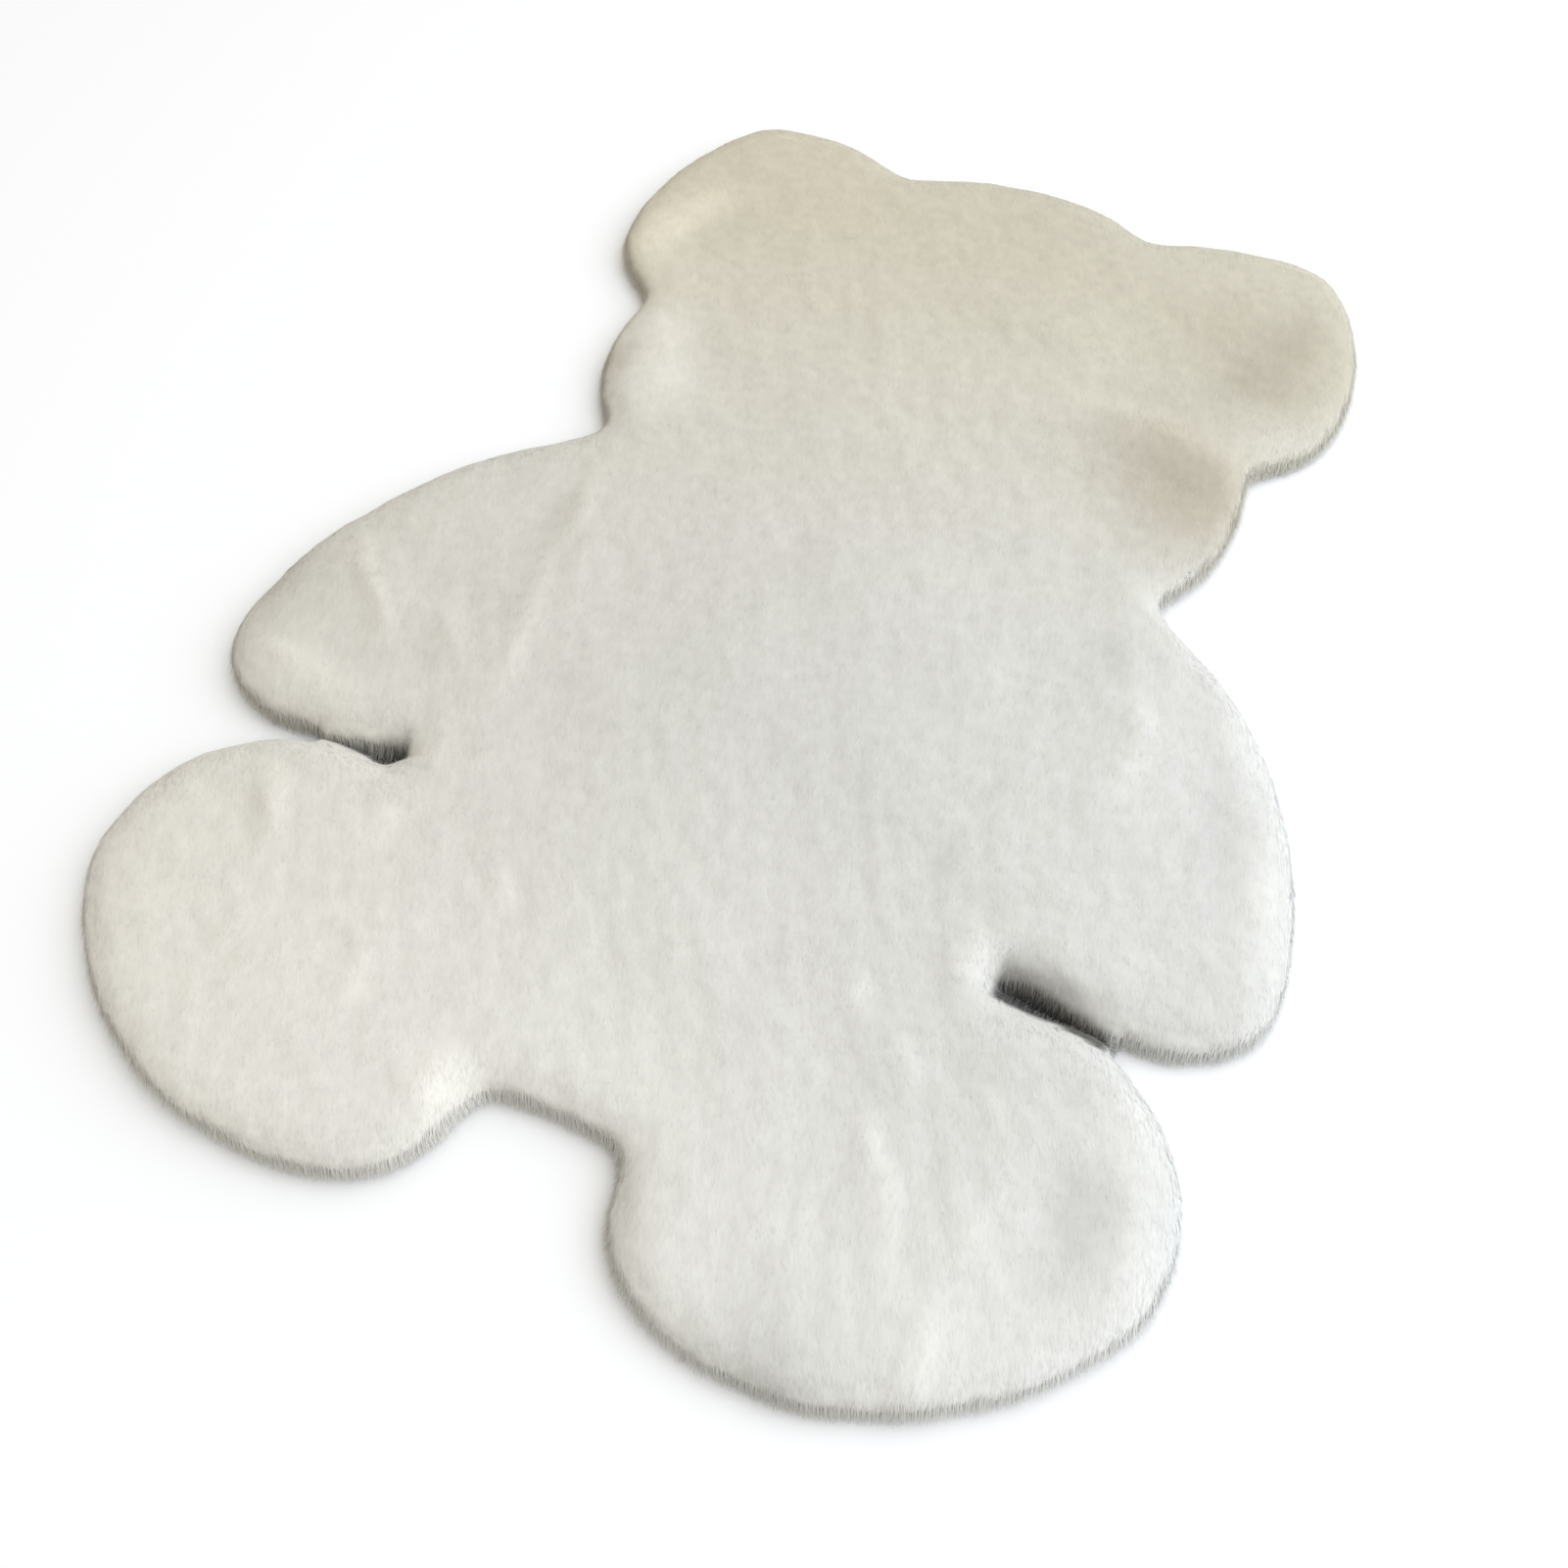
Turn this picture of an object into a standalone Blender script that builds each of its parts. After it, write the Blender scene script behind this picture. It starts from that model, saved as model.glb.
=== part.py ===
"""A bear shaped floor rug in short plush, as one flat solid that lies on z = 0.

The rug is a thick pile pad cut to a bear's outline: two round ears, a head, two arms and two legs, with
a narrow slit between each arm and leg. It is seen from above, with the head towards +Y. The rim rolls
over softly, the underside is flat, and the top has the shallow ridges and troughs of a rug that has
been folded. Lengths are in metres and angles in degrees. The origin is the middle of the rug's box, on
the floor.
"""

import math

import bmesh
import bpy
from mathutils import Vector, geometry, noise

# Driving sizes
RUG_LENGTH = 0.80  # from the feet to the crown of the head
PAD_THICKNESS = 0.019  # pile and backing, away from creases
WIDEST_HEIGHT = 0.007  # the rim's outermost line above the floor
RIM_ROLL = 0.023  # how far in from the outline the rim reaches full thickness
UNDERCUT = 0.004  # how far the pile hangs out past the edge that meets the floor

# How finely the solid is divided
OUTLINE_STEP = 0.0095
LEAST_STEPS = 4  # between two stations of the outline
LOWER_RIM_STEPS = 2
UPPER_RIM_STEPS = 4
TOP_STEP = 0.019
CREASE_STEP = 0.012
UNDERSIDE_STEP = 0.048
CLEARANCE = 0.4  # share of a step that points keep from the rim and from each other

# Uneven filling of the pile
SWELL_HEIGHT = 0.0011
SWELL_SPAN = 0.075
RIM_WOBBLE = 0.0007
WOBBLE_SPAN = 0.020

# The right half of the outline, from the crown down to the crotch. heading is the way the outline runs
# there, measured from +X, and reach_in and reach_out are the lengths of the curve's handles. The left
# half is its mirror image, moved by left_out (away from the middle) and left_up.
STATION_COLUMNS = "name, x, y, heading, reach_in, reach_out, left_out, left_up"
STATIONS = (
    ("crown", 0.010, 0.399, 0, 0.030, 0.050, -0.020, 0.000),
    ("ear_dip", 0.090, 0.376, 0, 0.013, 0.011, -0.001, 0.001),
    ("ear_top", 0.162, 0.392, 0, 0.038, 0.024, 0.000, 0.006),
    ("ear_shoulder", 0.215, 0.377, -52, 0.016, 0.022, -0.001, 0.004),
    ("ear_side", 0.247, 0.275, -90, 0.050, 0.040, 0.003, -0.004),
    ("ear_end", 0.222, 0.206, -137, 0.018, 0.011, 0.003, 0.001),
    ("cheek_notch", 0.2035, 0.187, -112, 0.006, 0.005, 0.003, 0.001),
    ("cheek", 0.2055, 0.155, -91, 0.015, 0.030, 0.002, 0.002),
    ("jaw", 0.193, 0.095, -117, 0.020, 0.010, 0.000, 0.002),
    ("neck_notch", 0.180, 0.069, -78, 0.006, 0.007, -0.001, 0.004),
    ("shoulder", 0.218, 0.037, -38, 0.023, 0.020, -0.002, 0.000),
    ("upper_arm", 0.269, -0.028, -63, 0.033, 0.038, -0.001, -0.002),
    ("arm_side", 0.2965, -0.136, -90, 0.042, 0.022, 0.001, 0.001),
    ("paw", 0.272, -0.182, -152, 0.018, 0.015, -0.001, 0.000),
    ("slit_mouth_above", 0.230, -0.1905, 178, 0.014, 0.018, 0.004, -0.0005),
    ("slit_above", 0.180, -0.181, 173, 0.020, 0.006, -0.005, -0.0005),
    ("slit_end", 0.1655, -0.186, -90, 0.003, 0.003, -0.003, 0.0035),
    ("slit_below", 0.177, -0.1925, -3, 0.005, 0.020, -0.003, 0.002),
    ("slit_mouth_below", 0.2345, -0.2005, -35, 0.020, 0.030, 0.003, 0.0005),
    ("leg_side", 0.2805, -0.283, -90, 0.046, 0.030, 0.003, 0.000),
    ("foot_corner", 0.2245, -0.364, -145, 0.030, 0.030, 0.001, -0.001),
    ("foot", 0.120, -0.399, 180, 0.045, 0.038, 0.000, 0.003),
    ("inner_leg", 0.040, -0.357, 108, 0.026, 0.008, 0.003, 0.000),
    ("crotch_corner", 0.0315, -0.330, 143, 0.008, 0.006, 0.000, 0.000),
    ("crotch", 0.000, -0.327, 180, 0.018, 0.018, 0.000, 0.000),
)

# Soft ridges and troughs in the top, each a straight stretch that fades out at its ends and sides.
# rise is the height at its middle, and below zero it is a trough.
CREASE_COLUMNS = "name, x0, y0, x1, y1, half_width, rise"
CREASES = (
    ("left_paw_fold", -0.256, -0.066, -0.206, -0.120, 0.010, 0.0024),
    ("left_paw_hollow", -0.243, -0.086, -0.205, -0.142, 0.011, -0.0012),
    ("left_elbow_fold", -0.188, -0.094, -0.160, -0.130, 0.010, 0.0015),
    ("left_armpit_hollow", -0.175, 0.036, -0.168, -0.032, 0.012, -0.0014),
    ("left_side_fold", -0.150, 0.047, -0.131, -0.106, 0.011, 0.0016),
    ("left_cheek_fold", -0.176, 0.172, -0.154, 0.094, 0.014, 0.0016),
    ("left_ear_fold", -0.219, 0.262, -0.176, 0.356, 0.012, 0.0013),
    ("right_ear_fold", 0.172, 0.350, 0.160, 0.270, 0.012, 0.0013),
    ("right_ear_hollow", 0.206, 0.345, 0.185, 0.236, 0.013, -0.0013),
    ("right_lobe_fold", 0.190, 0.212, 0.226, 0.242, 0.010, 0.0014),
    ("right_brow_hollow", 0.120, 0.196, 0.176, 0.168, 0.014, -0.0014),
    ("right_neck_pucker", 0.140, 0.058, 0.172, 0.068, 0.010, 0.0014),
    ("right_arm_fold", 0.190, -0.004, 0.194, -0.062, 0.011, 0.0015),
    ("right_slit_pucker", 0.140, -0.160, 0.158, -0.198, 0.010, 0.0014),
    ("right_shin_fold", 0.126, -0.264, 0.170, -0.324, 0.011, 0.0014),
    ("right_foot_hollow", 0.214, -0.254, 0.238, -0.300, 0.014, -0.0014),
    ("left_hip_fold", -0.228, -0.226, -0.188, -0.252, 0.010, 0.0018),
    ("left_hip_hollow", -0.240, -0.238, -0.202, -0.264, 0.010, -0.0013),
    ("left_foot_fold", -0.238, -0.314, -0.205, -0.339, 0.010, 0.0014),
    ("left_shin_fold", -0.130, -0.268, -0.112, -0.314, 0.010, 0.0012),
    ("left_thigh_pucker", -0.068, -0.348, -0.045, -0.322, 0.010, 0.0014),
)

PILE_COLOUR = (0.80, 0.78, 0.72, 1.0)
PILE_ROUGHNESS = 0.92


def rows(columns, table):
    """The rows of a table as dictionaries, by the names of their columns."""
    names = columns.split(", ")
    return [dict(zip(names, row)) for row in table]


def heading_vector(angle):
    return Vector((math.cos(math.radians(angle)), math.sin(math.radians(angle))))


def curve_between(start, end):
    """Points on the curve from one station up to the next, which is left out."""
    handle_out = start["at"] + heading_vector(start["heading"]) * start["reach_out"]
    handle_in = end["at"] - heading_vector(end["heading"]) * end["reach_in"]
    steps = max(LEAST_STEPS, round((end["at"] - start["at"]).length / OUTLINE_STEP))
    corners = [start["at"], handle_out, handle_in, end["at"]]
    return geometry.interpolate_bezier(*[c.to_3d() for c in corners], steps + 1)[:-1]


def half_outline(left):
    """One half of the outline, crown and crotch included, drawn as if it were the right one."""
    stations = rows(STATION_COLUMNS, STATIONS)
    for station in stations:
        moved = (station["left_out"], station["left_up"]) if left else (0.0, 0.0)
        station["at"] = Vector((station["x"], station["y"])) + Vector(moved)
    points = []
    for start, end in zip(stations, stations[1:]):
        points += [Vector(p[:2]) for p in curve_between(start, end)]
    return points + [stations[-1]["at"]]


def outline():
    """The whole outline, anticlockwise seen from above, at the rug's real length."""
    right = half_outline(left=False)
    left = [Vector((-p.x, p.y)) for p in half_outline(left=True)]
    loop = left[:-1] + right[::-1][:-1]
    scale = RUG_LENGTH / (max(p.y for p in loop) - min(p.y for p in loop))
    return [p * scale for p in loop]


def inward_normals(loop):
    """The direction into the rug at each point of an anticlockwise outline."""
    normals = []
    for before, after in zip(loop[-1:] + loop[:-1], loop[1:] + loop[:1]):
        along = (after - before).normalized()
        normals.append(Vector((-along.y, along.x)))
    return normals


def wobble(point):
    """How far the pile at the rim stands out of line, which follows from the place alone."""
    return RIM_WOBBLE * noise.noise((point / WOBBLE_SPAN).to_3d())


def crease_height(crease, point):
    start, end = Vector((crease["x0"], crease["y0"])), Vector((crease["x1"], crease["y1"]))
    along = end - start
    share = (point - start).dot(along) / along.length_squared
    away = (point - start - along * share).length / crease["half_width"]
    past_middle = abs(2 * share - 1)
    if past_middle > 1 or away > 2:
        return 0.0
    return crease["rise"] * (1 - past_middle**2) * math.cos(away * math.pi / 4) ** 2


def relief(point):
    """Height of the top's unevenness above its plain level."""
    swell = SWELL_HEIGHT * noise.noise((point / SWELL_SPAN).to_3d())
    return swell + sum(crease_height(c, point) for c in rows(CREASE_COLUMNS, CREASES))


def rim_sections():
    """(distance in from the outline, height, share of the relief) from the floor up over the rim."""
    sections = []
    for step in range(LOWER_RIM_STEPS):
        turn = math.pi / 2 * (1 - step / LOWER_RIM_STEPS)
        height = WIDEST_HEIGHT * (1 - math.sin(turn))
        sections.append((UNDERCUT * (1 - math.cos(turn)), height, 0.0))
    for step in range(UPPER_RIM_STEPS + 1):
        turn = math.pi / 2 * step / UPPER_RIM_STEPS
        height = WIDEST_HEIGHT + (PAD_THICKNESS - WIDEST_HEIGHT) * math.sin(turn)
        sections.append((RIM_ROLL * (1 - math.cos(turn)), height, math.sin(turn) ** 3))
    return sections


def rim_rings(loop):
    """One closed ring of points for each section of the rim, from the floor up."""
    normals = inward_normals(loop)
    rings = []
    for inset, height, share in rim_sections():
        ring = []
        for point, normal in zip(loop, normals):
            place = point + normal * (inset + wobble(point))
            ring.append(Vector((place.x, place.y, height + share * relief(place))))
        rings.append(ring)
    return rings


def inside(point, loop):
    """Whether a point lies within a closed outline."""
    crossings = 0
    for a, b in zip(loop, loop[1:] + loop[:1]):
        if (a.y > point.y) != (b.y > point.y):
            crossings += point.x < a.x + (b.x - a.x) * (point.y - a.y) / (b.y - a.y)
    return crossings % 2 == 1


def crease_points():
    """Three rows of points along each crease, so that the faces follow its crest and its sides."""
    points = []
    for crease in rows(CREASE_COLUMNS, CREASES):
        start, end = Vector((crease["x0"], crease["y0"])), Vector((crease["x1"], crease["y1"]))
        along = end - start
        across = Vector((-along.y, along.x)).normalized() * crease["half_width"]
        steps = round(along.length / CREASE_STEP)
        for side in (0, -1, 1):
            points += [start + along * i / steps + across * side for i in range(steps + 1)]
    return points


def grid_points(loop, step):
    """Points in staggered rows over the outline's box."""
    low = Vector((min(p.x for p in loop), min(p.y for p in loop)))
    high = Vector((max(p.x for p in loop), max(p.y for p in loop)))
    row_step = step * math.sin(math.radians(60))
    points = []
    for row in range(int((high.y - low.y) / row_step)):
        for column in range(int((high.x - low.x) / step)):
            shift = Vector(((column + 0.5 * (row % 2)) * step, row * row_step))
            points.append(low + shift)
    return points


def points_inside(loop, wanted):
    """The wanted (point, step) pairs' points that lie inside the loop, none too near it or another."""
    kept = []
    for point, step in wanted:
        near = CLEARANCE * step
        clear_of_rim = all((point - p).length > near for p in loop)
        clear_of_rest = all((point - p).length > near for p in kept)
        if clear_of_rim and clear_of_rest and inside(point, loop):
            kept.append(point)
    return kept


def fill_ring(bm, ring, wanted, height):
    """Closes a ring of vertices with triangles over the wanted points, each at its height."""
    loop = [v.co.to_2d() for v in ring]
    points = points_inside(loop, wanted)
    edges = [(i, (i + 1) % len(loop)) for i in range(len(loop))]
    placed, _, faces, sources, _, _ = geometry.delaunay_2d_cdt(loop + points, edges, [], 1, 1e-7)
    verts = []
    for point, source in zip(placed, sources):
        on_ring = source and source[0] < len(ring)
        verts.append(ring[source[0]] if on_ring else bm.verts.new((point.x, point.y, height(point))))
    for face in faces:
        bm.faces.new([verts[i] for i in face])


def rug_mesh():
    """The rug's closed surface: the rim's rings, the top inside them and the flat underside."""
    bm = bmesh.new()
    loop = outline()
    rings = [[bm.verts.new(p) for p in ring] for ring in rim_rings(loop)]
    for lower, upper in zip(rings, rings[1:]):
        for i in range(len(lower)):
            bm.faces.new((lower[i - 1], lower[i], upper[i], upper[i - 1]))

    top_points = [(p, CREASE_STEP) for p in crease_points()]
    top_points += [(p, TOP_STEP) for p in grid_points(loop, TOP_STEP)]
    fill_ring(bm, rings[-1], top_points, lambda p: PAD_THICKNESS + relief(p))
    underside_points = [(p, UNDERSIDE_STEP) for p in grid_points(loop, UNDERSIDE_STEP)]
    fill_ring(bm, rings[0], underside_points, lambda p: 0.0)

    bmesh.ops.recalc_face_normals(bm, faces=bm.faces)
    mesh = bpy.data.meshes.new("bear_rug")
    bm.to_mesh(mesh)
    bm.free()
    return mesh


def pile_material():
    material = bpy.data.materials.new("pile")
    material.use_nodes = True
    shader = material.node_tree.nodes["Principled BSDF"]
    shader.inputs["Base Color"].default_value = PILE_COLOUR
    shader.inputs["Roughness"].default_value = PILE_ROUGHNESS
    shader.inputs["Metallic"].default_value = 0.0
    return material


def centre_on_floor(mesh):
    """Moves the mesh so that the origin is the middle of its box, in plan, and its underside is z = 0."""
    xs = [v.co.x for v in mesh.vertices]
    ys = [v.co.y for v in mesh.vertices]
    middle = Vector(((min(xs) + max(xs)) / 2, (min(ys) + max(ys)) / 2, 0.0))
    for vertex in mesh.vertices:
        vertex.co -= middle


def main():
    for old in list(bpy.data.objects):
        bpy.data.objects.remove(old)
    mesh = rug_mesh()
    centre_on_floor(mesh)
    mesh.materials.append(pile_material())
    mesh.shade_smooth()
    rug = bpy.data.objects.new("bear_rug", mesh)
    bpy.context.scene.collection.objects.link(rug)


main()
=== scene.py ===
import math

import bmesh
import bpy
import numpy as np
from mathutils import Matrix, Vector, noise


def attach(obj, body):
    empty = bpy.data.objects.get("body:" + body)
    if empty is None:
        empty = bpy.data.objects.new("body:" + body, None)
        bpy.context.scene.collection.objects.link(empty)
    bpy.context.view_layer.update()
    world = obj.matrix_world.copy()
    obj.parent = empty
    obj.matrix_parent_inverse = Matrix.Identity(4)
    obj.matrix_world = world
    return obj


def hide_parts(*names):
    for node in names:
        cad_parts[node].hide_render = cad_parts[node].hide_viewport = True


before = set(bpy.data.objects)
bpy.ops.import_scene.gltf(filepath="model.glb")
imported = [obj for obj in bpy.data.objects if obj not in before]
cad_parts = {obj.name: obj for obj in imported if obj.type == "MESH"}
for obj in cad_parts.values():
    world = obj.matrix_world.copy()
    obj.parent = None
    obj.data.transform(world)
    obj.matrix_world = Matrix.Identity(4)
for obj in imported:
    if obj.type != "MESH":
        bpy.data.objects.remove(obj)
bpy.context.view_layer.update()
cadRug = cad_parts["bear_rug"]
print("frame loaded")

mm = 0.001
onFloor = 0.000001  # in metres, what lies lower than this is flat on the floor


def hexColour(code):
    channels = [int(code[i:i + 2], 16) / 255 for i in (0, 2, 4)]
    linear = [c / 12.92 if c <= 0.04045 else ((c + 0.055) / 1.055) ** 2.4 for c in channels]
    return (*linear, 1.0)


def addNode(tree, kind, inputs=None, **settings):
    # an input is a number, a colour or the socket that feeds it
    node = tree.nodes.new(kind)
    for name, value in settings.items():
        setattr(node, name, value)
    for name, value in (inputs or {}).items():
        if isinstance(value, bpy.types.NodeSocket):
            tree.links.new(value, node.inputs[name])
        else:
            node.inputs[name].default_value = value
    return node


def linkedObject(name, data):
    made = bpy.data.objects.new(name, data)
    bpy.context.scene.collection.objects.link(made)
    return made


def evaluatedMesh(source, name):
    graph = bpy.context.evaluated_depsgraph_get()
    mesh = bpy.data.meshes.new_from_object(source.evaluated_get(graph))
    mesh.name = name
    return mesh


def readNumbers(mesh, name):
    values = np.zeros(len(mesh.vertices), np.float32)
    mesh.attributes[name].data.foreach_get("value", values)
    return values


def readVectors(items, name):
    values = np.zeros(len(items) * 3, np.float32)
    items.foreach_get(name, values)
    return values.reshape(-1, 3)


def storeOnPoints(mesh, name, values):
    kind = "FLOAT" if values.ndim == 1 else "FLOAT_VECTOR"
    stored = mesh.attributes.get(name) or mesh.attributes.new(name, kind, "POINT")
    stored.data.foreach_set("value" if values.ndim == 1 else "vector", values.astype(np.float32).ravel())


def namedRows(columns, rows):
    return [dict(zip(columns.split(", "), row)) for row in rows]


def unit(vectors):
    return vectors / np.maximum(np.linalg.norm(vectors, axis=1, keepdims=True), 1e-9)


def fallBetween(heights, limits):
    # 0 above the first height, 1 below the second, smooth between
    share = np.interp(-heights, (-limits[0], -limits[1]), (0.0, 1.0))
    return share * share * (3 - 2 * share)


def triangleCount(mesh):
    return sum(len(p.vertices) - 2 for p in mesh.polygons)


# The view of the photograph, in the rug's frame: metres and degrees, and millimetres for the lens.
viewSettings = {
    "place": (0.1792, -0.4735, 0.6331),
    "turnedLeft": 23.20,
    "lookDown": 58.48,
    "roll": -0.22,
    "lens": 32.15,
    "sensor": 36.0,
    "nearest": 0.01,
}


def makeCamera(view):
    turn, down, roll = (math.radians(view[name]) for name in ("turnedLeft", "lookDown", "roll"))
    forward = Vector((-math.sin(turn) * math.cos(down), math.cos(turn) * math.cos(down), -math.sin(down)))
    level = Vector((math.cos(turn), math.sin(turn), 0.0))
    above = level.cross(forward)
    right = level * math.cos(roll) + above * math.sin(roll)
    up = above * math.cos(roll) - level * math.sin(roll)
    turned = Matrix((right, up, -forward)).transposed().to_4x4()
    camera = linkedObject("camera", bpy.data.cameras.new("camera"))
    camera.matrix_world = Matrix.Translation(view["place"]) @ turned
    camera.data.sensor_width = view["sensor"]
    camera.data.lens = view["lens"]
    camera.data.clip_start = view["nearest"]
    bpy.context.scene.camera = camera


# A room that is brighter on the window's side, behind the rug and to its right. Metres and watts.
roomSettings = {
    "brightSide": (0.70, 0.60, 0.40),
    "skyColours": ("FFF6E6", "F6FAFF"),  # away from the window and towards it
    "skyStrength": (0.32, 1.22),
    "lamps": {
        "window": {
            "towards": (0.62, 0.30, 0.72), "away": 2.0, "size": 2.4, "power": 14.0, "colour": "FAFCFF",
        },
        "lowWindow": {
            "towards": (0.90, 0.06, 0.43), "away": 1.5, "size": 1.6, "power": 7.0, "colour": "D4E4FF",
        },
    },
}


def makeLights(room):
    world = bpy.data.worlds.new("softRoom")
    world.use_nodes = True
    tree = world.node_tree
    background = tree.nodes["Background"]
    way = addNode(tree, "ShaderNodeTexCoord").outputs["Generated"]
    facing = addNode(tree, "ShaderNodeVectorMath",
                     {0: way, 1: Vector(room["brightSide"]).normalized()},
                     operation="DOT_PRODUCT").outputs["Value"]
    share = addNode(tree, "ShaderNodeMapRange",
                    {"Value": facing, "From Min": -1.0, "From Max": 1.0}).outputs[0]
    darkSide, brightSide = room["skyColours"]
    colour = addNode(tree, "ShaderNodeMix", {0: share, 6: hexColour(darkSide), 7: hexColour(brightSide)},
                     data_type="RGBA").outputs[2]
    weakest, strongest = room["skyStrength"]
    strength = addNode(tree, "ShaderNodeMapRange",
                       {"Value": share, "To Min": weakest, "To Max": strongest}).outputs[0]
    tree.links.new(colour, background.inputs["Color"])
    tree.links.new(strength, background.inputs["Strength"])
    bpy.context.scene.world = world
    for name, lamp in room["lamps"].items():
        light = bpy.data.lights.new(name, "AREA")
        light.size = lamp["size"]
        light.energy = lamp["power"]
        light.color = hexColour(lamp["colour"])[:3]
        lampObject = linkedObject(name, light)
        towards = Vector(lamp["towards"]).normalized()
        lampObject.location = towards * lamp["away"]
        lampObject.rotation_euler = towards.to_track_quat("Z", "Y").to_euler()


# Painted board: nearly white and matt, so it shows only the rug's soft shadow. Metres.
floorSettings = {"reach": 12.0, "colour": "FEFEFD", "roughness": 0.8, "gloss": 0.1}


def makeFloor(board):
    mesh = bpy.data.meshes.new("floor")
    corners = ((-1, -1), (1, -1), (1, 1), (-1, 1))
    mesh.from_pydata([(x * board["reach"], y * board["reach"], 0.0) for x, y in corners],
                     [], [(0, 1, 2, 3)])
    material = bpy.data.materials.new("palePaintedBoard")
    material.use_nodes = True
    shader = material.node_tree.nodes["Principled BSDF"]
    shader.inputs["Base Color"].default_value = hexColour(board["colour"])
    shader.inputs["Roughness"].default_value = board["roughness"]
    shader.inputs["Specular IOR Level"].default_value = board["gloss"]
    mesh.materials.append(material)
    linkedObject("floor", mesh)


# The way the pile lies. Metres and degrees. A surface's facing is its normal's z: 1 on the flat top,
# 0 on an upright wall and -1 underneath.
napSettings = {
    "lean": 88.8,  # from upright, on the flat
    "towards": -72.0,  # heading of the tips in the middle, from +X
    "fanOut": 40.0,  # how far the heading turns for each metre of x
    "legTurn": 12.0,  # and how far it turns on the legs
    "legHeights": (-0.10, -0.28),  # the y from which and by which the pile on the legs has turned
    "rimFacing": (0.35, 0.93),  # hair has the rim's way below the first and the top's way above the second
    "rimLift": 14.0,  # how far hair on the rim stands off the surface as it hangs
    "rimDrift": 0.25,  # and how much of the nap's heading it keeps
    "levelHeights": (0.0090, 0.0050),  # in the slits, hair turns from hanging to level between these
    "bridge": 0.0100,  # the length of that level hair
    "bridgeDrop": 0.15,  # how far it falls for each length that it reaches out
    "floorGap": 0.0006,  # kept between the tips and the floor
    "leastRoom": 0.3,  # the share of its length that hair near the floor keeps
    "parting": (0.375, 0.875),  # how far the rim's way and the top's agree where hair is shortest and full
    "leastParted": 0.2,
    "topCover": (0.55, 0.80),  # the facings from which and by which the top's strands grow at full density
    "rimCover": (-0.75, -0.45),  # and the rim's
    "rimLowest": 0.0015,  # no strand grows lower than this
}


def napHeading(places):
    nap = napSettings
    onLegs = np.interp(-places[:, 1], (-nap["legHeights"][0], -nap["legHeights"][1]), (0.0, 1.0))
    return np.radians(nap["towards"] - nap["fanOut"] * places[:, 0] + nap["legTurn"] * onLegs)


def napPlaces(places):
    # across the nap, along it and up
    x, y, z = places.T
    heading = napHeading(places)
    across = x * np.sin(heading) - y * np.cos(heading)
    along = x * np.cos(heading) + y * np.sin(heading)
    return np.stack([across, along, z], 1)


# The slits between the arms and the legs. Each row is a stretch of the upper edge of the leg, from the inner
# end outwards. The wall of the arm across from it is painted dark as shade, most at its foot, out to the
# given reach. pressed is 1 where the pile of both walls meets. Metres.
slitColumns = "name, x0, y0, x1, y1, reach0, reach1, dark0, dark1, pressed"
slitRows = (
    ("rightInner", 0.1680, -0.1935, 0.1930, -0.1935, 0.037, 0.033, 1.0, 0.95, 1.0),
    ("rightOuter", 0.1930, -0.1935, 0.2220, -0.1985, 0.033, 0.018, 0.95, 0.90, 1.0),
    ("leftInner", -0.1630, -0.1865, -0.1810, -0.1900, 0.025, 0.016, 1.0, 0.50, 1.0),
    ("leftMiddle", -0.1810, -0.1900, -0.2080, -0.1925, 0.016, 0.008, 0.50, 0.05, 1.0),
    ("leftOuter", -0.2080, -0.1925, -0.2270, -0.1950, 0.007, 0.005, 0.10, 0.15, 0.0),
    ("leftMouth", -0.2285, -0.1950, -0.2335, -0.1955, 0.005, 0.005, 0.85, 0.85, 0.0),
)
slitSettings = {
    "ends": 0.004,  # how soft a stretch's ends are
    "pressedPast": 1.5,  # how many times that the pressed pile reaches past them
    "gap": (-0.006, -0.002, 0.012, 0.018),  # across a slit, where pressed pile begins, is full and ends
    "legSide": 0.0025,  # how far the dark reaches over the leg's edge
    "full": 0.13,  # the share of the reach that is fully dark
    "fall": 2.6,  # how fast the dark fades past that
    "halo": 0.28,  # the share of it that fades more slowly
}


def slitShares(places):
    # how far each place belongs to a slit, and how dark its painted shade may be there
    near = np.zeros(len(places))
    dark = np.zeros(len(places))
    for slit in namedRows(slitColumns, slitRows):
        start = np.array((slit["x0"], slit["y0"]))
        along = np.array((slit["x1"], slit["y1"])) - start
        length = np.linalg.norm(along)
        run = (places[:, :2] - start) @ along / length
        share = np.clip(run / length, 0, 1)
        past = np.maximum(np.maximum(-run, run - length), 0) / slitSettings["ends"]
        armSide = np.array((-along[1], along[0])) / length * np.sign(along[0])
        across = (places[:, :2] - start) @ armSide
        reach = slit["reach0"] + (slit["reach1"] - slit["reach0"]) * share
        reach = np.where(across > 0, reach, slitSettings["legSide"])
        fall = fallBetween(np.abs(across) / reach, (1.0, slitSettings["full"]))
        halo = slitSettings["halo"]
        inReach = fall * halo + fall ** slitSettings["fall"] * (1 - halo)
        level = slit["dark0"] + (slit["dark1"] - slit["dark0"]) * share
        dark = np.maximum(dark, level * inReach * np.clip(1 - past, 0, 1))
        inGap = np.interp(across, slitSettings["gap"], (0.0, 1.0, 1.0, 0.0))
        inRun = np.clip(slitSettings["pressedPast"] - past, 0, 1)
        near = np.maximum(near, slit["pressed"] * inGap * inRun)
    return near, dark


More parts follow.
